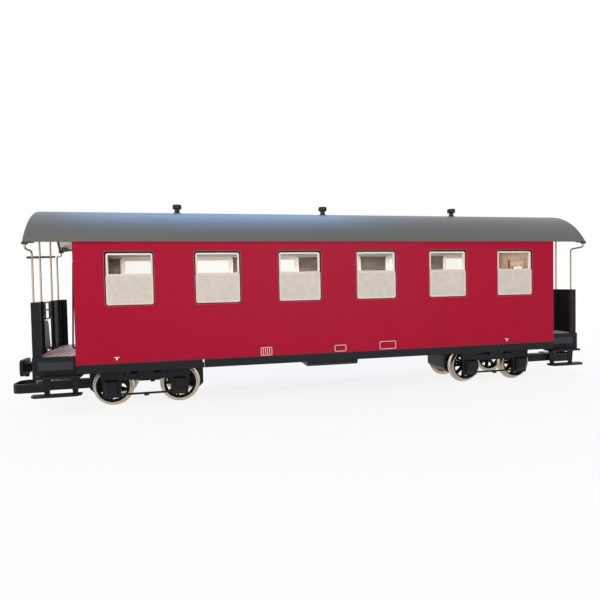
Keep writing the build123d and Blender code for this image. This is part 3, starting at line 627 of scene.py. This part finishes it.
def printed(x_low, x_high, z_low, z_high):
    """A thin rectangular film of ink on the near wall."""
    return block((x_low, wall_face - mark_film, z_low), (x_high, wall_face, z_high))


marks = []
bar_start, bar_stop, bar_low, bar_high = np.array([-73.4, -63.4, 42.7, 50.1]) * mm
for x in np.linspace(bar_start, bar_stop - line_width, 6):
    marks.append(printed(x, x + line_width, bar_low, bar_high))
for z in (bar_low, bar_high - line_width):
    marks.append(printed(bar_start, bar_stop, z, z + line_width))
panel_table = ((-5.2, 5.6, 43.2, 49.0), (38.6, 54.8, 43.2, 50.6))
for x_low, x_high, z_low, z_high in np.array(panel_table) * mm:
    marks.append(printed(x_low, x_high, z_low, z_low + line_width))
    marks.append(printed(x_low, x_high, z_high - line_width, z_high))
    marks.append(printed(x_low, x_low + line_width, z_low, z_high))
    marks.append(printed(x_high - line_width, x_high, z_low, z_high))
jack_half, jack_stem, jack_top, jack_low = np.array([2.2, 0.7, 47.6, 45.2]) * mm
for x in np.array([-194.5, 172.7]) * mm:
    marks.append(printed(x - jack_half, x + jack_half, jack_top - line_width, jack_top))
    marks.append(printed(x - jack_stem, x + jack_stem, jack_low, jack_top - line_width))
mark_white = moulded(
    "mark white",
    srgb(236, 232, 230),
    grain=1500, roughness=0.35, spread=0.1, tint=0.05, bump=0.05,
)
piece("wall_marks", marks, mark_white, "coach_body", "window_frame")

# Windows.
# Each is a pale translucent insert, recessed in the wall's opening: a mitred frame round a clear upper pane,
# and a frosted lower pane in front. A black ring behind the gap is painted shade; the opening's thin lip is a
# painted highlight.
window_places = 73.0 * mm * (np.arange(6) - 2.5)
window_size = np.array([39.6, 45.6]) * mm
window_middle = 112.9 * mm
insert_size = np.array([37.6, 43.4]) * mm
insert_low = 90.9 * mm
insert_high = insert_low + insert_size[1]
transom_low = 115.3 * mm
window_radius = 2.6 * mm
insert_radius = 2.0 * mm
inner_radius = 4.0 * mm
half_width = -wall_face

frame_profile = ((0.3, 1.2), (0.0, 1.5), (0.0, 3.75), (1.7, 3.75), (1.7, 2.0), (1.3, 1.2))
gap_shade_profile = ((-2.7, 2.58), (-2.7, 3.7), (0.4, 3.7), (0.4, 2.58))
lip_middle = np.array([-0.16, 0.03])
lip_half = np.array([0.18, 0.15])
lip_turn = np.linspace(0, np.pi, 6)
lip_profile = lip_middle - lip_half * np.stack([np.cos(lip_turn), np.sin(lip_turn)], axis=-1)
inner_profile = ((-1.6, 4.1), (-1.6, 4.5), (-1.3, 4.7), (0.9, 4.7), (1.3, 4.4), (1.3, 4.1))
bead_profile = ((0.2, 0.6), (0.2, 0.3), (0.35, 0.15), (1.1, 0.15), (1.4, 0.45))
upper_size = (insert_size[0], insert_high - transom_low)
upper_middle = (insert_high + transom_low) / 2
lower_size = (insert_size[0], transom_low - insert_low)
lower_middle = (insert_low + transom_low) / 2
pane_high = 116.1 * mm
pane_size = (38.0 * mm, pane_high - insert_low)
pane_middle = (insert_low + pane_high) / 2
frames, beads, gap_shade_rings, highlight_lips = [], [], [], []
for side in (-1, 1):
    for x in window_places:
        for z, size in ((upper_middle, upper_size), (lower_middle, lower_size)):
            frames.append(framed(x, half_width, z, size, insert_radius, frame_profile, side))
        beads.append(framed(x, half_width, pane_middle, pane_size, insert_radius, bead_profile, side))
        gap_shade_rings.append(framed(x, half_width, window_middle, insert_size, insert_radius, gap_shade_profile, side))
        frames.append(framed(x, half_width, window_middle, window_size, inner_radius, inner_profile, side))
        highlight_lips.append(framed(x, half_width, window_middle, window_size, window_radius, lip_profile, side))
frame_pale = moulded(
    "pale frame",
    srgb(232, 226, 216),
    grain=1500, roughness=0.3, spread=0.1, tint=0.15, bump=0.08,
)
piece("window_inserts", frames, frame_pale, "coach_body", "window_frame", "window_frames")
bead_pale = moulded(
    "pale bead",
    srgb(220, 211, 200),
    grain=1500, roughness=0.32, spread=0.1, tint=0.15, bump=0.08,
)
piece("pane_beads", beads, bead_pale, "coach_body", "window_frame")
# The black ring behind the gap round each insert is painted shade, not a real seal.
piece("window_gap_shade", gap_shade_rings, black_plastic, "coach_body", "black_plastic")
# The lip's pale rose, paler than the red paint, is a painted highlight on the edge of the opening.
lip_highlight_rose = moulded(
    "lip painted highlight",
    srgb(176, 96, 104),
    grain=1400, roughness=0.2, spread=0.1, tint=0.1, bump=0.05,
)
piece("window_highlight_lips", highlight_lips, lip_highlight_rose, "coach_body", "body_red")
clear_glazing = moulded(
    "clear pane",
    srgb(252, 251, 248),
    grain=300, roughness=0.0, spread=0.04, tint=0.02, bump=0.01, shine=0.5,
)
clear_shader = clear_glazing.node_tree.nodes["Principled BSDF"]
clear_shader.inputs["Transmission Weight"].default_value = 1.0
clear_shader.inputs["IOR"].default_value = 1.2


def let_light_in(material, share):
    """Lets a share of shadow and diffuse rays through a pane's material, so that the saloon is lit."""
    tree = material.node_tree
    rays = add(tree, "ShaderNodeLightPath").outputs
    lit = add(
        tree,
        "ShaderNodeMath",
        [(rays["Is Shadow Ray"], 0), (rays["Is Diffuse Ray"], 1)],
        operation="MAXIMUM",
    )
    passed = add(tree, "ShaderNodeMath", [(lit.outputs[0], 0)], operation="MULTIPLY")
    passed.inputs[1].default_value = share
    through = add(tree, "ShaderNodeBsdfTransparent")
    solid = tree.nodes["Principled BSDF"]
    mixed = add(
        tree, "ShaderNodeMixShader", [(passed.outputs[0], 0), (solid.outputs[0], 1), (through.outputs[0], 2)]
    )
    tree.links.new(mixed.outputs[0], tree.nodes["Material Output"].inputs["Surface"])


clear_share = 0.95
frosted_share = 0.6
let_light_in(clear_glazing, clear_share)
dress(clear_glazing, "clear_panes", *[f"door_glass_{end}" for end in ends], edge=0.05)
frosted_glazing = moulded(
    "frosted pane",
    srgb(206, 195, 182),
    grain=420, roughness=0.42, spread=0.2, tint=0.3, patch=210, bump=0.4,
)
let_light_in(frosted_glazing, frosted_share)
dress(frosted_glazing, "frosted_panes", edge=0.3)

# Inner lining and seats.
# Behind the windows the walls are lined in dark brown boards and the ends in tan ones, with brown
# benches back to back on the floor.
lining_gap = 3.85 * mm
lining_thickness = 0.4 * mm
lining_jamb = 0.4 * mm
lining_edge = 0.5 * mm
lining_short = 4.0 * mm
end_gap = 3.2 * mm
doorway_head = 128.1 * mm
board_inset = 0.4 * mm
board_thickness = 0.2 * mm
wall_low, wall_high = span("side_wall_near")
lining_dark = wooden("lining boards", srgb(72, 58, 52), srgb(122, 106, 97), (60, 900, 500), 0.45, 0.3)
lining_cream = wooden("cornice boards", srgb(214, 204, 188), srgb(240, 232, 220), (60, 500, 500), 0.45, 0.2)
lining_tan = wooden("end boards", srgb(150, 126, 108), srgb(190, 165, 142), (500, 500, 60), 0.45, 0.3)


def boarded(columns, rows, keep):
    """An upright sheet on a grid of columns and rows in its own plane, without the cells not kept."""
    across, up = np.meshgrid(columns, rows, indexing="ij")
    corners, quads = surface(np.stack([across, np.zeros_like(across), up], axis=-1))
    return corners, quads[np.array(keep).ravel()]


def end_board(x, columns, rows, opening):
    """A sheet made by boarded, turned to stand across the coach at x, without the cell of its opening."""
    keep = np.ones((len(columns) - 1, len(rows) - 1), bool)
    keep[opening] = False
    corners, quads = boarded(columns, rows, keep)
    return np.stack([np.full(len(corners), x), corners[:, 0], corners[:, 2]], axis=-1), quads


def thicken(sheet, thickness):
    """Gives a sheet its thickness, half to each side."""
    solid = sheet.modifiers.new("thickness", "SOLIDIFY")
    solid.thickness = thickness
    solid.offset = 0


half_open = window_size[0] / 2 - lining_jamb
half_high = window_size[1] / 2
openings = np.stack([window_places - half_open, window_places + half_open], axis=-1).ravel()
wall_columns = np.concatenate([[wall_low[0] + lining_short], openings, [wall_high[0] - lining_short]])
lining_low = wall_low[2] + lining_edge
lining_high = wall_high[2] - lining_edge
wall_rows = (lining_low, window_middle - half_high, window_middle + half_high, lining_high)
wall_cells = np.ones((len(wall_columns) - 1, len(wall_rows) - 1), bool)
wall_cells[1::2, 1] = False
upper = np.tile([False, False, True], len(wall_columns) - 1)[wall_cells.ravel()]
for side_name, side in (("near", -1), ("far", 1)):
    corners, quads = boarded(wall_columns, wall_rows, wall_cells)
    corners[:, 1] = side * (half_width - lining_gap)
    boards = [(corners, quads[~upper])]
    lining = piece(f"lining_{side_name}", boards, lining_dark, "coach_body", "seat_brown")
    thicken(lining, lining_thickness)
    boards = [(corners, quads[upper])]
    cornice = piece(f"cornice_{side_name}", boards, lining_cream, "coach_body", "window_frame")
    thicken(cornice, lining_thickness)

lining_half = half_width - lining_gap - lining_edge
end_columns = (-lining_half, -doorway_half, doorway_half, lining_half)
end_rows = (lining_low, doorway_head, lining_high)
for end, sign in ends.items():
    boards = [end_board(sign * (wall_high[0] - end_gap), end_columns, end_rows, (1, 0))]
    lining = piece(f"lining_{end}", boards, lining_tan, "coach_body", "seat_brown")
    thicken(lining, lining_thickness)

for end, sign in ends.items():
    door_low, door_high = span(f"door_{end}")
    glass_low, glass_high = span(f"door_glass_{end}")
    inner_face = door_low[0] if sign > 0 else door_high[0]
    leaf_half = min(-door_low[1], door_high[1]) - board_inset
    leaf_columns = (-leaf_half, glass_low[1], glass_high[1], leaf_half)
    leaf_rows = (door_low[2] + board_inset, glass_low[2], glass_high[2], door_high[2] - board_inset)
    boards = [end_board(inner_face - sign * board_thickness / 2, leaf_columns, leaf_rows, (1, 1))]
    board = piece(f"door_board_{end}", boards, lining_tan, f"end_door_{end}", "seat_brown")
    thicken(board, board_thickness)

seat_brown = wooden("seat boards", srgb(98, 74, 54), srgb(142, 112, 84), (400, 60, 400), 0.45, 0.3)
dress(seat_brown, "seats")

# Roof.
# One arched moulding in satin mid grey covers the body and both platforms. It rests on the walls and
# on the posts.
roof_grey = moulded(
    "roof grey",
    srgb(92, 92, 88),
    grain=2600, roughness=0.3, spread=0.14, tint=0.1, patch=9, bump=0.3, shine=0.35,
)
dress(roof_grey, "roof", edge=0.35)

# Sockets of the corner posts.
# A small dark grey block under each corner of the roof takes the tip of a cranked post. A short
# slanted bracket holds it from inside the roof.
socket_grey = moulded(
    "socket grey",
    srgb(70, 69, 66),
    grain=2000, roughness=0.4, spread=0.1, tint=0.2, bump=0.2,
)
socket_inset = 2.5 * mm
socket_radius = 0.7 * mm
bracket_radius = 0.4 * mm
socket_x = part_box("post_sockets")[1][0] - socket_inset
socket_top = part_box("roof")[0][2]
socket_half = np.array([2.3, 1.7]) * mm
socket_profile = ((0.0, 0.0), (0.0, 1.0), (1.3, 1.0), (2.0, 0.78), (2.2, 0.5), (2.2, 0.0))
bracket_profile = ((0.0, -0.9), (6.0, 1.7), (6.0, 3.4), (3.0, 3.4), (0.0, 0.0))
bracket_reach = np.array([2.0, 6.0]) * mm


def socket_block(x, y):
    """A block that hangs from the roof at (x, y) on a rounded rectangle.

    Each profile point, a drop and a share, gives the rectangle times that share at that drop. The
    first and last share are nothing, which closes the block.
    """
    corners = socket_half * np.array([(-1, -1), (1, -1), (1, 1), (-1, 1)])
    outline = rounded(corners, socket_radius, closed=True)
    drops, shares = np.array(socket_profile).T
    flat = np.array([x, y]) + shares[:, None, None] * outline
    level = np.broadcast_to((socket_top - drops * mm)[:, None, None], (*flat.shape[:2], 1))
    return surface(np.concatenate([flat, level], axis=-1), wrap_columns=True)


def socket_bracket(sign, side):
    """A bracket carried along the coach: its profile, in from the socket and up from the roof's edge.

    A point in the profile's middle closes each end.
    """
    outline = rounded(np.array(bracket_profile) * mm, bracket_radius, closed=True)
    middle = np.tile(outline.mean(axis=0), (len(outline), 1))
    rings = []
    for reach, ring in zip(bracket_reach[[0, 0, 1, 1]], (middle, outline, outline, middle)):
        along = np.full(len(ring), sign * (socket_x - reach))
        inwards = side * (socket_post - socket_half[1] - ring[:, 0])
        rings.append(np.stack([along, inwards, socket_top + ring[:, 1]], axis=-1))
    return surface(np.stack(rings), wrap_columns=True)


sockets = []
for sign in (-1, 1):
    for side in (-1, 1):
        sockets.append(socket_block(sign * socket_x, side * socket_post))
        sockets.append(socket_bracket(sign, side))
piece("socket_blocks", sockets, socket_grey, "coach_body", "black_plastic", "post_sockets")

# Ceiling.
# A curved cream board lines the roof from end to end, a little below the moulding, over the saloon
# and both platforms.
ceiling_radius = 63.3 * mm
ceiling_centre = 109.0 * mm
ceiling_reach = radians(55)
ceiling_inset = 2.0 * mm
roof_low, roof_high = span("roof")
arc = np.linspace(-ceiling_reach, ceiling_reach, 33)
lengths = np.linspace(roof_low[0] + ceiling_inset, roof_high[0] - ceiling_inset, 9)
along, turn = np.meshgrid(lengths, arc, indexing="ij")
across = ceiling_radius * np.sin(turn)
level = ceiling_centre + ceiling_radius * np.cos(turn)
vault = surface(np.stack([along, across, level], axis=-1))
ceiling = piece("ceiling", [vault], lining_cream, "coach_body", "window_frame")
thicken(ceiling, lining_thickness)

# Ventilators.
# Three dark ventilators stand along the crown of the roof. Each is turned, with a flared foot, a stem
# and a rounded cap.
vent_inset = 4.5 * mm
vent_bend = 0.35 * mm


def turned(profile, centre, axis, count):
    """A turned surface: a profile of (along, radius) points carried round an axis through centre."""
    along, radius = np.array(profile, float).T
    axis = np.array(axis, float)
    first = np.roll(axis, 1)
    second = np.cross(axis, first)
    turn = np.linspace(0, 2 * np.pi, count, endpoint=False)
    ring = np.cos(turn)[:, None] * first + np.sin(turn)[:, None] * second
    return np.array(centre) + along[:, None, None] * axis + radius[:, None, None] * ring


vent_corners = np.array(
    [(0, 3.6), (0.5, 3.5), (1.6, 2.4), (4.2, 2.4), (4.5, 4.2), (7.6, 4.3), (8.4, 3.7), (8.6, 2.4)]
)
vent_low, vent_high = span("vents")
vent_outline = rounded(vent_corners * mm, vent_bend)
vent_outline = np.vstack([[vent_outline[0][0], 0], vent_outline, [vent_outline[-1][0], 0]])
vent_places = np.linspace(vent_low[0] + vent_inset, vent_high[0] - vent_inset, 3)
vent_dark = moulded(
    "ventilator grey",
    srgb(44, 44, 46),
    grain=1600, roughness=0.4, spread=0.12, tint=0.1, bump=0.2,
)
vents = [
    surface(turned(vent_outline, (x, 0, vent_low[2]), (0, 0, 1), 32), wrap_columns=True)
    for x in vent_places
]
piece("ventilators", vents, vent_dark, "coach_body", "vent_dark", "vents")

# Wheelsets.
# Each has a steel axle, spoked black plastic centres and turned tyres plated in warm nickel, with
# a rounded flange behind the tread.
tyre_corners = np.array([(0, 14.2), (0, 18.0), (1.0, 18.0), (1.7, 15.5), (6.6, 15.4), (6.6, 14.2)])
tyre_bend = 0.45 * mm
tyre_outline = rounded(tyre_corners * mm, tyre_bend, closed=True)
wheel_back = 20.0 * mm
axle_radius = 2.0 * mm
axle_half = 34.5 * mm
axle_bend = 0.3 * mm
axle_corners = np.array([(-1, 0), (-1, 1), (1, 1), (1, 0)]) * (axle_half, axle_radius)
axle_outline = rounded(axle_corners, axle_bend)
tyre_nickel = moulded(
    "tyre nickel",
    srgb(182, 170, 154),
    grain=1500, roughness=0.26, spread=0.2, tint=0.3, patch=80, bump=0.1, metallic=1.0,
)
axle_steel = moulded(
    "axle steel",
    srgb(150, 148, 146),
    grain=1500, roughness=0.3, spread=0.1, tint=0.15, bump=0.1, metallic=1.0,
)
wheel_black = moulded(
    "wheel black",
    srgb(12, 12, 15),
    grain=2000, roughness=0.42, spread=0.15, tint=0.3, bump=0.2, shine=0.1,
)
for end in ends:
    for number in (1, 2):
        name = f"{end}_{number}"
        hub = sum(span(f"axle_{name}")) / 2
        rings = [
            surface(
                turned(tyre_outline, (hub[0], side * wheel_back, hub[2]), (0, side, 0), 96),
                wrap_rows=True,
                wrap_columns=True,
            )
            for side in (-1, 1)
        ]
        piece(f"tyre_rings_{name}", rings, tyre_nickel, f"wheelset_{name}", "tyre_nickel", f"tyres_{name}")
        axle = surface(turned(axle_outline, hub, (0, 1, 0), 40), wrap_columns=True)
        piece(f"axle_rod_{name}", [axle], axle_steel, f"wheelset_{name}", "axle_steel", f"axle_{name}")
        dress(wheel_black, f"wheel_centres_{name}")

# Coupler hooks.
# A bent strip of bare metal lies on each coupler's loop. It is stamped from sheet and catches the
# loop of the next coach.
hook_metal = moulded(
    "hook metal",
    srgb(186, 178, 168),
    grain=1500, roughness=0.28, spread=0.15, tint=0.2, bump=0.15, metallic=1.0,
)
dress(hook_metal, *[f"coupler_hook_{end}" for end in ends])

# Studio.
# A pale floor under the flanges fades to the white background. A large soft light stands in front on
# the left and a lower one on the right, with a bluish one behind and above, and a weak one under the
# saloon's ceiling.


def white_for_eyes(tree, plain, share=None):
    """Mixes white in for camera, glossy and transmission rays, times a share where one is given."""
    white = add(tree, "ShaderNodeEmission", Color=(1, 1, 1, 1), Strength=1.0)
    rays = add(tree, "ShaderNodeLightPath").outputs
    seen = rays["Is Camera Ray"]
    for kind in ("Is Glossy Ray", "Is Transmission Ray"):
        seen = add(tree, "ShaderNodeMath", [(seen, 0), (rays[kind], 1)], operation="MAXIMUM").outputs[0]
    if share is not None:
        seen = add(tree, "ShaderNodeMath", [(seen, 0), (share, 1)], operation="MULTIPLY").outputs[0]
    mixed = add(tree, "ShaderNodeMixShader", [(seen, 0), (plain, 1), (white.outputs[0], 2)])
    return mixed.outputs[0]


floor_half = 3.0
fade_start = 0.05
fade_end = 0.70
fade_least = 0.86
floor_mesh = bpy.data.meshes.new("floor")
floor_corners = np.array([[-1, -1, 0], [1, -1, 0], [1, 1, 0], [-1, 1, 0]]) * floor_half
floor_mesh.from_pydata(floor_corners.tolist(), [], [(0, 1, 2, 3)])
floor = bpy.data.objects.new("floor", floor_mesh)
bpy.context.scene.collection.objects.link(floor)
floor_white = bpy.data.materials.new("floor white")
floor_white.use_nodes = True
floor_tree = floor_white.node_tree
floor_shader = floor_tree.nodes["Principled BSDF"]
floor_shader.inputs["Base Color"].default_value = (0.92, 0.91, 0.9, 1)
floor_shader.inputs["Roughness"].default_value = 0.9
floor_shader.inputs["Specular IOR Level"].default_value = 0.0
spot = add(floor_tree, "ShaderNodeTexCoord").outputs["Object"]
away = add(floor_tree, "ShaderNodeVectorMath", [(spot, 0)], operation="LENGTH").outputs["Value"]
fade = add(floor_tree, "ShaderNodeMapRange", [(away, "Value")], interpolation_type="SMOOTHSTEP")
fade.inputs["From Min"].default_value = fade_start
fade.inputs["From Max"].default_value = fade_end
fade.inputs["To Min"].default_value = fade_least
shown = white_for_eyes(floor_tree, floor_shader.outputs[0], fade.outputs["Result"])
under = add(floor_tree, "ShaderNodeNewGeometry").outputs["Backfacing"]
clear = add(floor_tree, "ShaderNodeBsdfTransparent")
one_sided = add(floor_tree, "ShaderNodeMixShader", [(under, 0), (shown, 1), (clear.outputs[0], 2)])
floor_tree.links.new(one_sided.outputs[0], floor_tree.nodes["Material Output"].inputs["Surface"])
floor_mesh.materials.append(floor_white)

world = bpy.data.worlds.new("studio")
bpy.context.scene.world = world
world.use_nodes = True
world_tree = world.node_tree
room = world_tree.nodes["Background"]
room.inputs["Color"].default_value = (1, 1, 1, 1)
room.inputs["Strength"].default_value = 0.35
backdrop = white_for_eyes(world_tree, room.outputs[0])
world_tree.links.new(backdrop, world_tree.nodes["World Output"].inputs["Surface"])
light_target = Vector((0, 0, 0.09))


def soft_light(name, place, size, power, colour):
    """A rectangular area light that faces the middle of the coach."""
    lamp = bpy.data.lights.new(name, "AREA")
    lamp.shape = "RECTANGLE"
    lamp.size, lamp.size_y = size
    lamp.energy = power
    lamp.color = colour
    holder = bpy.data.objects.new(name, lamp)
    holder.location = place
    holder.visible_camera = False
    holder.visible_transmission = False
    holder.rotation_euler = (light_target - Vector(place)).to_track_quat("-Z", "Y").to_euler()
    bpy.context.scene.collection.objects.link(holder)


soft_light("key", (-0.9, -1.3, 1.1), (1.2, 0.8), 18, (1.0, 0.96, 0.91))
soft_light("fill", (0.4, -1.8, 0.32), (1.2, 0.5), 6.5, (0.93, 0.98, 1.0))
soft_light("sky", (-0.02, 0.6, 1.2), (0.95, 1.1), 10, (0.16, 0.46, 1.0))
soft_light("saloon", (0, 0, 0.140), (0.42, 0.06), 0.40, (1.0, 0.97, 0.92))

# Camera.
# It stands low in front of the coach and left of its middle, turned a little to the right. Its lens
# takes in the whole coach.
camera_data = bpy.data.cameras.new("camera")
camera_data.sensor_width = 36
camera_data.lens = 29.162
camera = bpy.data.objects.new("camera", camera_data)
camera.location = (-0.12973, -0.48214, 0.10605)
camera.rotation_euler = (radians(88.0745), radians(1.0937), radians(-12.2637))
bpy.context.scene.collection.objects.link(camera)
bpy.context.scene.camera = camera
bpy.context.scene.view_settings.view_transform = "Standard"
